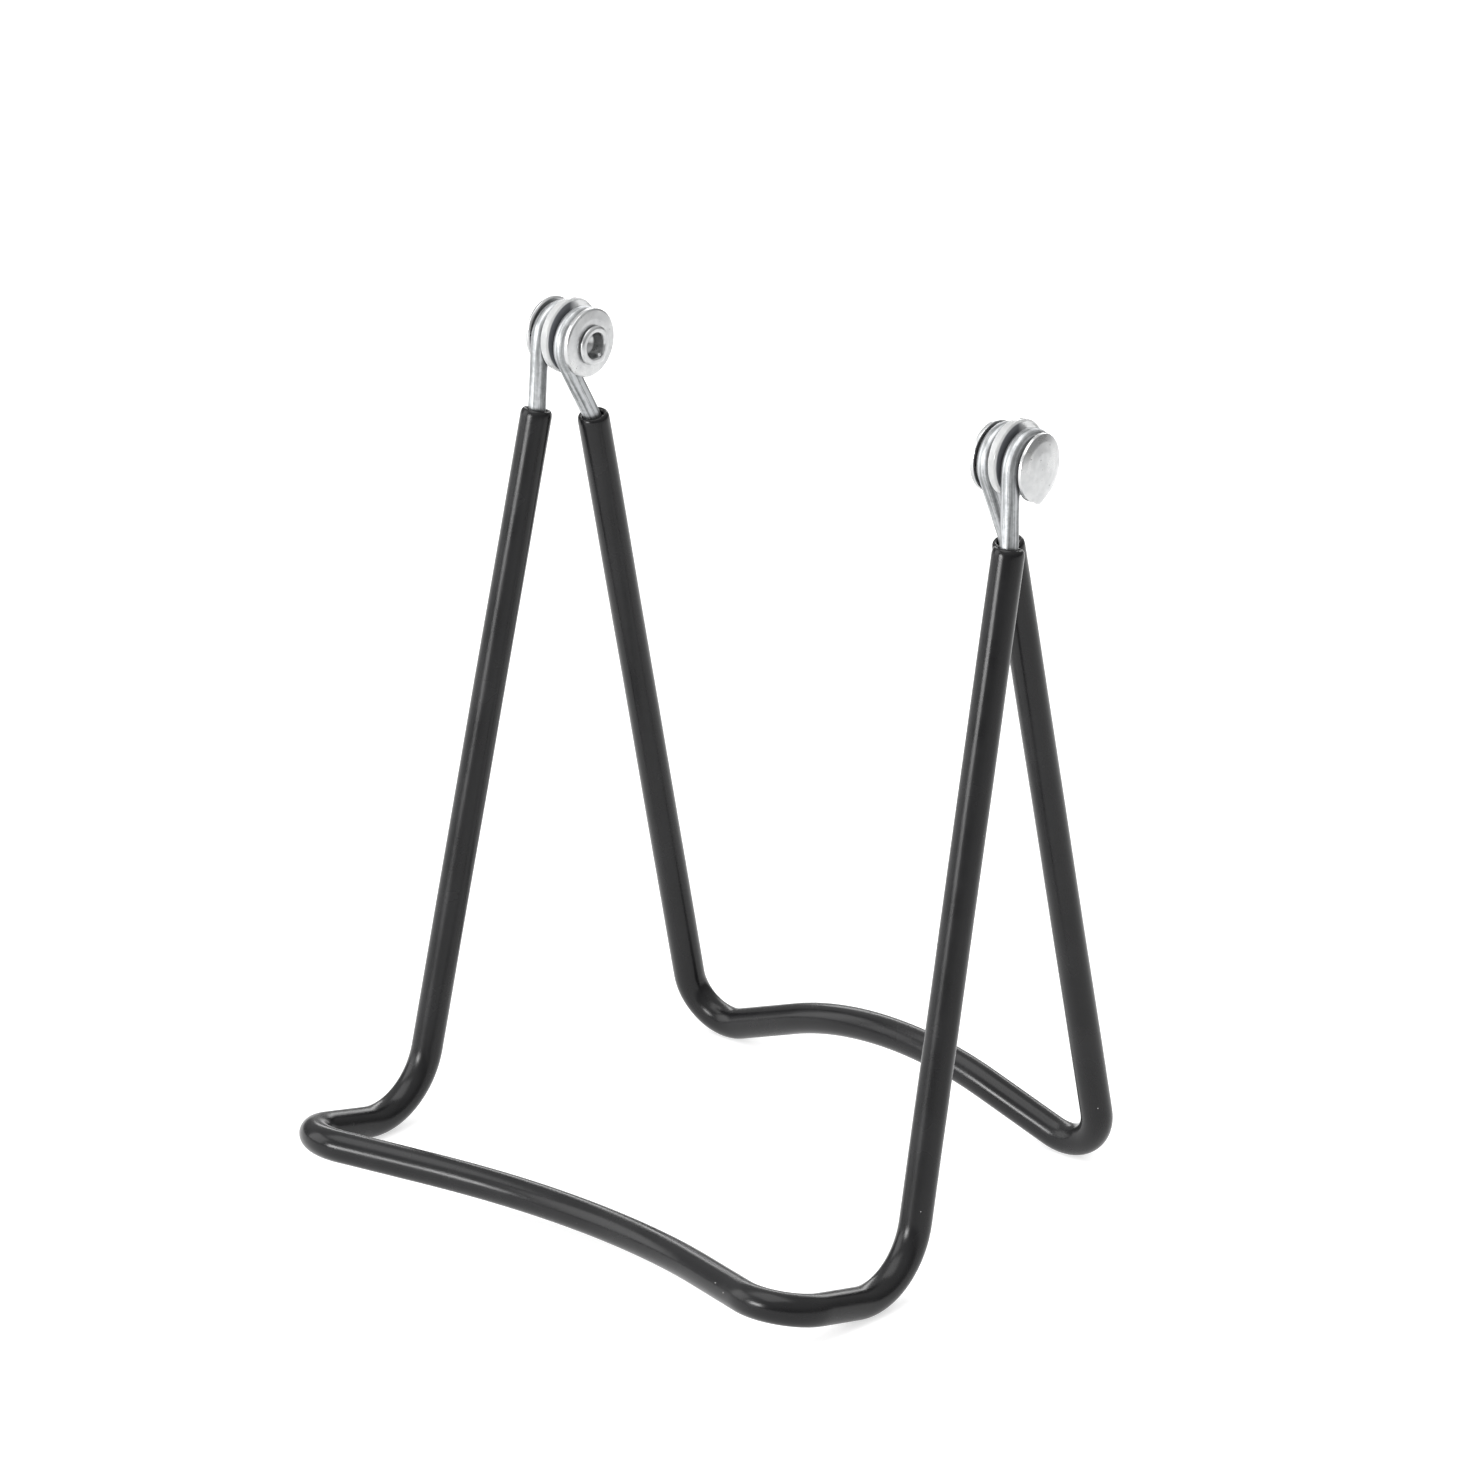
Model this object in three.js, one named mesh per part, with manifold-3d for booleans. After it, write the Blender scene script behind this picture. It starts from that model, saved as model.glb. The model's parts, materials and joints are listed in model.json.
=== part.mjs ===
// Folding wire easel: two bent steel-wire frames in vinyl tubing, hinged on two semi-tubular rivets.
// Millimetres, +Z up, front towards -Y. The origin is on the ground, in the middle of the footprint.
// The hinge axis runs along X. Both frames are symmetric about the plane x = 0.

import * as THREE from 'three';
import { mergeVertices } from 'three/addons/utils/BufferGeometryUtils.js';
import Module from 'manifold-3d';

// ---------------------------------------------------------------- driving dimensions

const WIRE_DIAMETER = 2.4;
const TUBE_OUTSIDE = 4.3;
const TUBE_INSIDE = 3.0;
const HINGE_HEIGHT = 105.3; // hinge axis above the ground
const GROUND_FLAT = 0.12; // how far the vinyl is pressed flat where it stands

const EYE_RADIUS = 3.6; // of the wire's centreline round the rivet
const EYE_WRAP = THREE.MathUtils.degToRad(284);
const KINK_BEND = 6; // where the bare wire below the eye bends into line with the leg

const FRONT = {
  eyeX: 40.1, // middle of the eye
  legTopX: 40.1, // where the leg's line meets the hinge's height
  legTopY: -1.7,
  kinkDistance: 9.9, // from the leg's top down the leg to the bend in the bare wire
  mouthDistance: 9.95, // from the leg's top down the leg to the cut end of the tube
  footX: 43.2,
  footY: -26,
  footBend: 9.8,
  lipLength: 26, // from the foot to the lip's corner, along the lip
  lipTilt: THREE.MathUtils.degToRad(13.15),
  cornerX: 43.2,
  cornerBend: 6,
  barSetback: 15.6, // from the lip's corners back to where the bar's two halves would meet
  barBend: 71.4,
};

const BACK = {
  eyeX: 36.1,
  legTopX: 35.3,
  legTopY: -0.8,
  kinkDistance: 11.3,
  mouthDistance: 11.2,
  footX: 36.15,
  footY: 24.1,
  footBend: 6.2,
  barRise: 13.9, // from the feet up the legs' plane to where the bar's two halves would meet
  barBend: 47.2,
};

const RIVET = {
  shankRadius: 2.15,
  headRadius: 4.65,
  headUnderside: 1.35, // these are distances outwards from the front eye's middle
  headRim: 1.9,
  headTop: 2.65,
  rollTop: -6.8,
  rollUnderside: -6.2,
  rollRadius: 2.7,
  boreRadius: 1.7,
  boreEnd: -1.5,
};

const CLINCH_WASHER = {
  boreRadius: 2.4,
  outerRadius: 4.65,
  rimOuter: -5.42,
  rimInner: -5.8,
  crownOuter: -5.75,
  crownInner: -6.15,
};

const FRICTION_WASHER = {
  boreRadius: 2.75,
  outerRadius: 5.1,
  outerFace: -1.3,
  innerFace: -2.7,
  edgeChamfer: 0.3,
  lift: 0.5, // how far above the hinge axis the loose washer is clamped
};

const WIRE_SIDES = 8;
const TUBE_SIDES = 12;
const TUBE_BORE_SIDES = 8;
const LATHE_SIDES = 24;
const BEND_STEP = THREE.MathUtils.degToRad(13); // largest turn between two sections of a bend

// ---------------------------------------------------------------- finishes

const zincWire = new THREE.MeshStandardMaterial({ color: 0xb4b6b7, roughness: 0.38, metalness: 1 });
const blackVinyl = new THREE.MeshStandardMaterial({ color: 0x2b2b2c, roughness: 0.36, metalness: 0 });
const nickelSteel = new THREE.MeshStandardMaterial({ color: 0xc6c7c7, roughness: 0.26, metalness: 1 });
const clearNylon = new THREE.MeshStandardMaterial({ color: 0xe8eae8, roughness: 0.34, metalness: 0 });

// ---------------------------------------------------------------- routes

// A route is a list of stations, each a point and the direction of travel there.
const station = (point, tangent) => ({ point, tangent });

// An arc that rounds a corner, from the straight that comes in to the straight that goes out.
function bend(previous, corner, next, radius) {
  const back = previous.clone().sub(corner).normalize();
  const onward = next.clone().sub(corner).normalize();
  const opening = back.angleTo(onward);
  const turn = Math.PI - opening;
  const start = corner.clone().addScaledVector(back, radius / Math.tan(opening / 2));
  const incoming = back.clone().negate();
  const axis = incoming.clone().cross(onward).normalize();
  const spoke = incoming.clone().cross(axis).multiplyScalar(radius);
  const centre = start.clone().sub(spoke);
  const steps = 2 * Math.ceil(turn / BEND_STEP / 2);
  return Array.from({ length: steps + 1 }, (_, i) => {
    const angle = (turn * i) / steps;
    const point = centre.clone().add(spoke.clone().applyAxisAngle(axis, angle));
    return station(point, incoming.clone().applyAxisAngle(axis, angle));
  });
}

// Straights and bends through a list of corners, each { at, radius }; the first and last are ends.
function routeThrough(corners) {
  const first = corners[0].at;
  const last = corners.at(-1).at;
  const stations = [station(first, corners[1].at.clone().sub(first).normalize())];
  for (let i = 1; i < corners.length - 1; i += 1) {
    stations.push(...bend(corners[i - 1].at, corners[i].at, corners[i + 1].at, corners[i].radius));
  }
  stations.push(station(last, last.clone().sub(corners.at(-2).at).normalize()));
  return stations;
}

const mirrored = (vector) => new THREE.Vector3(-vector.x, vector.y, vector.z);

// A symmetric list of corners from its right half and the middle one.
function bothSides(rightHalf, middle) {
  const leftHalf = rightHalf.map(({ at, radius }) => ({ at: mirrored(at), radius })).reverse();
  return [...rightHalf, middle, ...leftHalf];
}

// The eye at the top of a leg: an open loop in a plane of constant x, which leaves on the front side
// along the tangent that runs down to the kink.
function eyeRoute(eyeX, kink) {
  const toKink = new THREE.Vector2(kink.y, kink.z - HINGE_HEIGHT);
  const exitAngle = toKink.angle() - Math.acos(EYE_RADIUS / toKink.length());
  const steps = Math.ceil(EYE_WRAP / (1.5 * BEND_STEP));
  return Array.from({ length: steps + 1 }, (_, i) => {
    const angle = exitAngle - EYE_WRAP * (1 - i / steps);
    const point = new THREE.Vector3(
      eyeX,
      EYE_RADIUS * Math.cos(angle),
      HINGE_HEIGHT + EYE_RADIUS * Math.sin(angle),
    );
    return station(point, new THREE.Vector3(0, -Math.sin(angle), Math.cos(angle)));
  });
}

// The point a given distance down a leg.
function downLeg(top, foot, distance) {
  return top.clone().addScaledVector(foot.clone().sub(top).normalize(), distance);
}

// The corners below the legs' tops, for a foot at a given height above the ground.
function frontCorners(footZ) {
  const foot = new THREE.Vector3(FRONT.footX, FRONT.footY, footZ);
  const alongLip = new THREE.Vector3(0, -Math.cos(FRONT.lipTilt), Math.sin(FRONT.lipTilt));
  const corner = foot.clone().addScaledVector(alongLip, FRONT.lipLength).setX(FRONT.cornerX);
  const middle = corner.clone().addScaledVector(alongLip, -FRONT.barSetback).setX(0);
  const rightHalf = [
    { at: foot, radius: FRONT.footBend },
    { at: corner, radius: FRONT.cornerBend },
  ];
  return { rightHalf, middle: { at: middle, radius: FRONT.barBend } };
}

function backCorners(footZ) {
  const foot = new THREE.Vector3(BACK.footX, BACK.footY, footZ);
  const upLegPlane = new THREE.Vector3(0, BACK.legTopY - BACK.footY, HINGE_HEIGHT - footZ).normalize();
  const middle = foot.clone().addScaledVector(upLegPlane, BACK.barRise).setX(0);
  return { rightHalf: [{ at: foot, radius: BACK.footBend }], middle: { at: middle, radius: BACK.barBend } };
}

// A frame's wire and tube routes, with its feet let down until they stand on the ground.
function frameRoutes(size, cornersAt) {
  const legTop = new THREE.Vector3(size.legTopX, size.legTopY, HINGE_HEIGHT);
  let footZ = 0;
  let routes = null;
  for (let pass = 0; pass < 4; pass += 1) {
    const { rightHalf, middle } = cornersAt(footZ);
    const foot = rightHalf[0].at;
    const kink = downLeg(legTop, foot, size.kinkDistance);
    const mouth = downLeg(legTop, foot, size.mouthDistance);
    const eye = eyeRoute(size.eyeX, kink);
    const wireHalf = [{ at: eye.at(-1).point }, { at: kink, radius: KINK_BEND }, ...rightHalf];
    const leftEye = eye
      .map(({ point, tangent }) => station(mirrored(point), mirrored(tangent).negate()))
      .reverse();
    routes = {
      wire: [...eye, ...routeThrough(bothSides(wireHalf, middle)).slice(1, -1), ...leftEye],
      tube: routeThrough(bothSides([{ at: mouth }, ...rightHalf], middle)),
    };
    const lowest = Math.min(...routes.tube.map(({ point }) => point.z));
    footZ += TUBE_OUTSIDE / 2 - GROUND_FLAT - lowest;
  }
  return routes;
}

// ---------------------------------------------------------------- solids

// A curve that hands ExtrudeGeometry the route's own stations, close together only in the bends.
class StationCurve extends THREE.Curve {
  constructor(stations) {
    super();
    this.stations = stations;
  }

  nearest(u) {
    return this.stations[Math.round(u * (this.stations.length - 1))];
  }

  getPoint(t) {
    return this.nearest(t).point.clone();
  }

  getPointAt(u) {
    return this.getPoint(u);
  }

  getTangentAt(u) {
    return this.nearest(u).tangent.clone();
  }
}

function polygonPoints(radius, sides) {
  return Array.from({ length: sides }, (_, i) => {
    const angle = (2 * Math.PI * (i + 0.5)) / sides;
    return new THREE.Vector2(radius * Math.cos(angle), radius * Math.sin(angle));
  });
}

function sweep(section, stations) {
  return new THREE.ExtrudeGeometry(section, {
    steps: stations.length - 1,
    extrudePath: new StationCurve(stations),
    curveSegments: 1,
    bevelEnabled: false,
  });
}

function wireGeometry(stations) {
  return sweep(new THREE.Shape(polygonPoints(WIRE_DIAMETER / 2, WIRE_SIDES)), stations);
}

function tubeGeometry(stations) {
  const section = new THREE.Shape(polygonPoints(TUBE_OUTSIDE / 2, TUBE_SIDES));
  section.holes.push(new THREE.Path(polygonPoints(TUBE_INSIDE / 2, TUBE_BORE_SIDES)));
  return sweep(section, stations);
}

const wasm = await Module();
wasm.setup();

function toManifold(geometry) {
  const bare = geometry.clone();
  bare.deleteAttribute('normal');
  bare.deleteAttribute('uv');
  const welded = mergeVertices(bare, 1e-4);
  return new wasm.Manifold(new wasm.Mesh({
    numProp: 3,
    vertProperties: new Float32Array(welded.getAttribute('position').array),
    triVerts: new Uint32Array(welded.index.array),
  }));
}

function fromManifold(solid) {
  const mesh = solid.getMesh();
  const geometry = new THREE.BufferGeometry();
  geometry.setAttribute('position', new THREE.BufferAttribute(mesh.vertProperties, 3));
  geometry.setIndex(new THREE.BufferAttribute(mesh.triVerts, 1));
  geometry.computeVertexNormals();
  return geometry;
}

// The tube's feet are flattened by what they stand on: everything below z = 0 is cut away.
function flattenedOnGround(geometry) {
  const slab = new THREE.BoxGeometry(200, 200, 10).translate(0, 0, -5);
  return fromManifold(toManifold(geometry).subtract(toManifold(slab)));
}

// A solid of revolution about X, from points [radius, distance along +X].
function turned(profile) {
  const points = profile.map(([radius, along]) => new THREE.Vector2(radius, along));
  return new THREE.LatheGeometry(points, LATHE_SIDES).rotateZ(-Math.PI / 2);
}

// Semi-tubular rivet: low domed head outside, shank through both eyes, rolled clinch inside.
function rivetGeometry() {
  const { headRadius, headRim, headTop, headUnderside, shankRadius } = RIVET;
  const { rollTop, rollUnderside, rollRadius, boreRadius, boreEnd } = RIVET;
  const rollMiddle = (rollTop + rollUnderside) / 2;
  return turned([
    [0, boreEnd],
    [boreRadius, boreEnd - 0.4],
    [boreRadius, rollTop + 0.25],
    [(boreRadius + rollRadius) / 2, rollTop],
    [rollRadius, rollMiddle],
    [rollRadius - 0.25, rollUnderside],
    [shankRadius, rollUnderside],
    [shankRadius, headUnderside],
    [headRadius - 0.15, headUnderside],
    [headRadius, (headUnderside + headRim) / 2],
    [headRadius - 0.1, headRim],
    [headRadius * 0.75, headRim + (headTop - headRim) * 0.5],
    [headRadius * 0.4, headRim + (headTop - headRim) * 0.87],
    [0, headTop],
  ]);
}

// Dished washer: its rim bears on the back eye and its crown takes the clinch.
function clinchWasherGeometry() {
  const { boreRadius, outerRadius, rimOuter, rimInner, crownOuter, crownInner } = CLINCH_WASHER;
  const shoulder = (boreRadius + outerRadius) / 2 + 0.2;
  return turned([
    [boreRadius, crownInner],
    [shoulder, crownInner + 0.12],
    [outerRadius, rimInner + 0.15],
    [outerRadius, rimOuter],
    [outerRadius - 0.5, rimOuter],
    [shoulder, crownOuter + 0.14],
    [boreRadius, crownOuter],
    [boreRadius, crownInner],
  ]);
}

// Nylon washer that rubs between the two eyes and holds the set angle.
function frictionWasherGeometry() {
  const { boreRadius, outerRadius, outerFace, innerFace, edgeChamfer, lift } = FRICTION_WASHER;
  return turned([
    [boreRadius, innerFace],
    [outerRadius - edgeChamfer, innerFace],
    [outerRadius, innerFace + edgeChamfer],
    [outerRadius, outerFace - edgeChamfer],
    [outerRadius - edgeChamfer, outerFace],
    [boreRadius, outerFace],
    [boreRadius, innerFace],
  ]).translate(0, 0, lift);
}

// ---------------------------------------------------------------- assembly

function named(name, geometry, material) {
  const mesh = new THREE.Mesh(geometry, material);
  mesh.name = name;
  return mesh;
}

function frame(name, size, cornersAt) {
  const { wire, tube } = frameRoutes(size, cornersAt);
  const group = new THREE.Group();
  group.add(named(`${name}_wire`, wireGeometry(wire), zincWire));
  group.add(named(`${name}_sleeve`, flattenedOnGround(tubeGeometry(tube)), blackVinyl));
  return group;
}

// One rivet stack, placed on the front eye with its head outwards.
function rivetStack(side, outwards) {
  const group = new THREE.Group();
  group.add(named(`${side}_rivet`, rivetGeometry(), nickelSteel));
  group.add(named(`${side}_clinch_washer`, clinchWasherGeometry(), nickelSteel));
  group.add(named(`${side}_friction_washer`, frictionWasherGeometry(), clearNylon));
  group.position.set(outwards * FRONT.eyeX, 0, HINGE_HEIGHT);
  group.rotation.z = outwards > 0 ? 0 : Math.PI;
  return group;
}

const stand = new THREE.Group();
stand.add(frame('front', FRONT, frontCorners));
stand.add(frame('back', BACK, backCorners));
stand.add(rivetStack('right', 1));
stand.add(rivetStack('left', -1));

const footprint = new THREE.Box3().setFromObject(stand).getCenter(new THREE.Vector3());
stand.position.y = -footprint.y;
stand.updateMatrixWorld(true);

export default stand;
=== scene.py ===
"""Folding wire easel: the finished looks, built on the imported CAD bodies.

Two steel-wire frames in black vinyl tubing hinge on two semi-tubular rivets. Lengths are in metres, +Z is up,
the front is towards -Y, and the hinge axis runs along X. Both frames are symmetric about the plane x = 0.
"""

import json
import logging
import math
from dataclasses import dataclass
from enum import Enum
from typing import Any

import bpy
import numpy as np
from mathutils import Matrix, Vector


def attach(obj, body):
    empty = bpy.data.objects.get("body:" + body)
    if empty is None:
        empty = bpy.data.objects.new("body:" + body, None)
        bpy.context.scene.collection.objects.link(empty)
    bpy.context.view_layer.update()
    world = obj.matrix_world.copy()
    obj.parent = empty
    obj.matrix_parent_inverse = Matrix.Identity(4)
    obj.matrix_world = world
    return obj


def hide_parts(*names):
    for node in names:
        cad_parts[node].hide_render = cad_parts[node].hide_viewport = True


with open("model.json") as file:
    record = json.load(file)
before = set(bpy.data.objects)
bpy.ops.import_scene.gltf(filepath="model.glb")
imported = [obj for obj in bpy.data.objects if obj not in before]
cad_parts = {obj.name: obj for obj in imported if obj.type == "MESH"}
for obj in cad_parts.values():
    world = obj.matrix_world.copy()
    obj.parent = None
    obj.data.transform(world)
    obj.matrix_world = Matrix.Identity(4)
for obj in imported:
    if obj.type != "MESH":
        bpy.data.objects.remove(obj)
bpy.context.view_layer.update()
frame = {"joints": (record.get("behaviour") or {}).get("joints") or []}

logging.basicConfig(level=logging.INFO, format="%(message)s")
LOG = logging.getLogger("easel")

MM = 0.001
STRAIGHTENED = "straightened"

Array = np.ndarray
Bends = list[tuple[Array, float]]
Colour = tuple[float, float, float, float]
Material = bpy.types.Material
Node = bpy.types.Node
Object = bpy.types.Object
Socket = bpy.types.NodeSocket
Tree = bpy.types.NodeTree

WIRE_RADIUS = 1.2 * MM
TUBE_RADIUS = 2.15 * MM
HINGE = np.array([float(v) for v in frame["joints"][0]["pos_m"]])


class Side(Enum):
    """Which end of the hinge a piece is on: +1 towards +X, -1 towards -X."""

    RIGHT = 1
    LEFT = -1


class Slot(Enum):
    """The record's material slots."""

    WIRE = "zinc_wire"
    SLEEVE = "black_vinyl"
    RIVET = "nickel_steel"
    WASHER = "clear_nylon"


# ---------------------------------------------------------------- nodes and colours


def linear(hex_colour: str) -> Colour:
    """Turns an sRGB hex colour into the linear values that shaders take.

    Args:
        hex_colour: six hex digits, such as "1c1c1d".

    Returns:
        Linear red, green and blue, and an alpha of 1.
    """
    parts = [int(hex_colour[i : i + 2], 16) / 255 for i in (0, 2, 4)]
    red, green, blue = (c / 12.92 if c <= 0.04045 else ((c + 0.055) / 1.055) ** 2.4 for c in parts)
    return (red, green, blue, 1.0)


def grey(value: float) -> Colour:
    """A neutral linear colour of that value."""
    return (value, value, value, 1.0)


def add_node(tree: Tree, kind: str, settings: dict[str, Any], links: dict[Any, Socket]) -> Node:
    """Adds one node to a tree, with its settings and the links into it.

    Args:
        tree: the node tree.
        kind: the node's type name, such as "ShaderNodeTexNoise".
        settings: property names, or socket names and numbers after "in:", each with its value.
        links: input socket names or numbers, each with the output socket that feeds it.

    Returns:
        The new node.
    """
    node = tree.nodes.new(kind)
    for name, value in settings.items():
        if name.startswith("in:"):
            key = name[3:]
            node.inputs[int(key) if key.isdigit() else key].default_value = value
        else:
            setattr(node, name, value)
    for key, socket in links.items():
        tree.links.new(socket, node.inputs[key])
    return node


def own_place(tree: Tree) -> Socket:
    """The point's place on the object, in metres."""
    return add_node(tree, "ShaderNodeTexCoord", {}, {}).outputs["Object"]


def straightened_place(tree: Tree) -> Socket:
    """The point's place on the piece as it would be if it were straight, in metres, with Z along it."""
    return add_node(tree, "ShaderNodeAttribute", {"attribute_name": STRAIGHTENED}, {}).outputs["Vector"]


def drawn_out(tree: Tree, place: Socket, width: float, length: float) -> Socket:
    """The place counted in widths across the piece and in lengths along it."""
    scale = (1 / width, 1 / width, 1 / length)
    return add_node(tree, "ShaderNodeMapping", {"in:Scale": scale}, {"Vector": place}).outputs["Vector"]


def noise(tree: Tree, place: Socket, size: float, **settings: float) -> Socket:
    """Cloudy noise from 0 to 1, mostly near 0.5.

    Args:
        tree: the node tree.
        place: the socket that says where the point is.
        size: how far apart the broadest clouds are.
        settings: the node's own detail, roughness or distortion.

    Returns:
        The noise's value.
    """
    values = {f"in:{name.title()}": value for name, value in settings.items()}
    values["in:Scale"] = 1 / size
    return add_node(tree, "ShaderNodeTexNoise", values, {"Vector": place}).outputs["Fac"]


def calculated(tree: Tree, operation: str, first: Socket, second: Socket | float = 0.0) -> Socket:
    """One step of arithmetic on a socket and a socket or a number."""
    if isinstance(second, float):
        settings, links = {"operation": operation, "in:1": second}, {0: first}
    else:
        settings, links = {"operation": operation}, {0: first, 1: second}
    return add_node(tree, "ShaderNodeMath", settings, links).outputs["Value"]


def weighted(tree: Tree, value: Socket, weight: float, rest: Socket) -> Socket:
    """The value times its weight, plus the rest."""
    settings = {"operation": "MULTIPLY_ADD", "in:1": weight}
    return add_node(tree, "ShaderNodeMath", settings, {0: value, 2: rest}).outputs["Value"]


def ranged(
    tree: Tree, value: Socket, source: tuple[float, float], target: tuple[float, float] = (0.0, 1.0)
) -> Socket:
    """Carries a value from one range to another, and holds it inside the second.

    Args:
        tree: the node tree.
        value: the value.
        source: the range that it comes from.
        target: the range that it is carried to.

    Returns:
        The new value.
    """
    settings = {
        "in:From Min": source[0],
        "in:From Max": source[1],
        "in:To Min": target[0],
        "in:To Max": target[1],
    }
    return add_node(tree, "ShaderNodeMapRange", settings, {"Value": value}).outputs["Result"]


def ramped(tree: Tree, value: Socket, stops: list[tuple[float, Colour]]) -> Socket:
    """Turns a value into a colour.

    Args:
        tree: the node tree.
        value: the value, from 0 to 1.
        stops: the values that have a colour of their own, in order, each with its colour.

    Returns:
        The colour.
    """
    node = add_node(tree, "ShaderNodeValToRGB", {}, {"Fac": value})
    ramp = node.color_ramp
    while len(ramp.elements) < len(stops):
        ramp.elements.new(0.5)
    for element, (position, colour) in zip(ramp.elements, stops):
        element.position = position
        element.color = colour
    return node.outputs["Color"]


def covered(tree: Tree, under: Socket, cover: Colour, amount: Socket) -> Socket:
    """A colour with another laid over it, as thickly as the amount says."""
    settings = {"data_type": "RGBA", "in:7": cover}
    return add_node(tree, "ShaderNodeMix", settings, {0: amount, 6: under}).outputs[2]


@dataclass(frozen=True)
class Finish:
    """A material with one Principled shader."""

    def started(self, name: str) -> tuple[Material, Tree, Node]:
        """Starts the material.

        Args:
            name: the material's name.

        Returns:
            The material, its node tree and its shader.
        """
        material = bpy.data.materials.new(name)
        material.use_nodes = True
        tree = material.node_tree
        tree.nodes.clear()
        shader = add_node(tree, "ShaderNodeBsdfPrincipled", {}, {})
        add_node(tree, "ShaderNodeOutputMaterial", {}, {"Surface": shader.outputs["BSDF"]})
        return material, tree, shader

    def embossed(self, tree: Tree, shader: Any, height: Socket, strength: float, depth: float) -> None:
        """Raises the surface a little where the height is high.

        Args:
            tree: the node tree.
            shader: the shader's node.
            height: the height, from 0 to 1.
            strength: how much of the effect shows.
            depth: how far up a height of 1 is.
        """
        settings = {"in:Strength": strength, "in:Distance": depth}
        bump = add_node(tree, "ShaderNodeBump", settings, {"Height": height})
        tree.links.new(bump.outputs["Normal"], shader.inputs["Normal"])


# ---------------------------------------------------------------- finishes


@dataclass(frozen=True)
class GalvanisedWire(Finish):
    """Drawn and galvanised steel wire.

    Pulling it through a die leaves fine bright and dark lines that run along it, over a soft satin zinc grey.
    """

    light: str = "949697"
    dark: str = "585a5b"
    bright: str = "b2b4b6"
    roughness: float = 0.42
    dull: float = 0.13
    line_width: float = 0.16 * MM
    line_length: float = 5.0 * MM
    band_width: float = 0.16 * MM / 0.3
    band_length: float = 20.0 * MM
    spangle: float = 0.7 * MM
    groove: float = 0.03 * MM

    def material(self) -> Material:
        """Builds the material. Its patterns lie on the straightened wire, so they follow every bend."""
        material, tree, shader = self.started("galvanised_wire")
        place = straightened_place(tree)
        fine = drawn_out(tree, place, self.line_width, self.line_length)
        lines = noise(tree, fine, 1.0, detail=3.0, roughness=0.6)
        bands = noise(tree, drawn_out(tree, place, self.band_width, self.band_length), 1.0)
        mottle = noise(tree, place, self.spangle, detail=4.0, roughness=0.65)
        streaks = weighted(tree, lines, 0.55, bands)
        tone = weighted(tree, mottle, 0.3, streaks)
        stops = [(0.62, linear(self.dark)), (0.94, linear(self.light)), (1.0, linear(self.bright))]
        tree.links.new(ramped(tree, tone, stops), shader.inputs["Base Color"])
        rough = ranged(tree, tone, (0.5, 1.3), (self.roughness + self.dull, self.roughness))
        tree.links.new(rough, shader.inputs["Roughness"])
        self.embossed(tree, shader, streaks, 0.35, self.groove)
        shader.inputs["Metallic"].default_value = 1.0
        return material


@dataclass(frozen=True)
class VinylTubing(Finish):
    """Extruded flexible PVC tubing, pulled over the wire.

    It is soft black with a broad satin shine, faint lines from the extruder's die, a fine orange peel,
    and a few specks of pale dust that the soft plastic holds.
    """

    colour: str = "121213"
    rubbed: str = "19191a"
    dust: str = "c9c9c8"
    smooth: float = 0.2
    rough: float = 0.3
    peel: float = 0.55 * MM
    peel_depth: float = 0.03 * MM
    handling: float = 9.0 * MM
    die_line_width: float = 0.5 * MM
    die_line_length: float = 30.0 * MM
    speck_spacing: float = 2.6 * MM
    specks_bare: float = 0.6
    speck_core: float = 0.012
    speck_edge: float = 0.03
    index: float = 1.53
    specular: float = 0.22

    def specks(self, tree: Tree, place: Socket) -> Socket:
        """Where the dust is: a dot in the middle of some cells. A dot is about 0.07 mm in radius."""
        settings = {"in:Scale": 1 / self.speck_spacing, "in:Randomness": 1.0}
        cells = add_node(tree, "ShaderNodeTexVoronoi", settings, {"Vector": place})
        chance = add_node(tree, "ShaderNodeSeparateColor", {}, {"Color": cells.outputs["Color"]})
        chosen = calculated(tree, "GREATER_THAN", chance.outputs["Red"], self.specks_bare)
        near = ranged(tree, cells.outputs["Distance"], (self.speck_core, self.speck_edge), (1.0, 0.0))
        return calculated(tree, "MULTIPLY", near, chosen)

    def material(self) -> Material:
        """Builds the material. Its patterns lie on the straightened tube, so they follow every bend."""
        material, tree, shader = self.started("vinyl_tubing")
        place = straightened_place(tree)
        lines = noise(tree, drawn_out(tree, place, self.die_line_width, self.die_line_length), 1.0)
        peel = noise(tree, place, self.peel, detail=3.0)
        handled = noise(tree, place, self.handling, detail=4.0, roughness=0.6)
        body = ramped(tree, handled, [(0.35, linear(self.colour)), (0.7, linear(self.rubbed))])
        dusty = covered(tree, body, linear(self.dust), self.specks(tree, place))
        tree.links.new(dusty, shader.inputs["Base Color"])
        rough = ranged(tree, handled, (0.3, 0.7), (self.smooth, self.rough))
        tree.links.new(rough, shader.inputs["Roughness"])
        self.embossed(tree, shader, weighted(tree, peel, 0.25, lines), 0.25, self.peel_depth)
        shader.inputs["IOR"].default_value = self.index
        shader.inputs["Specular IOR Level"].default_value = self.specular
        return material


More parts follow.
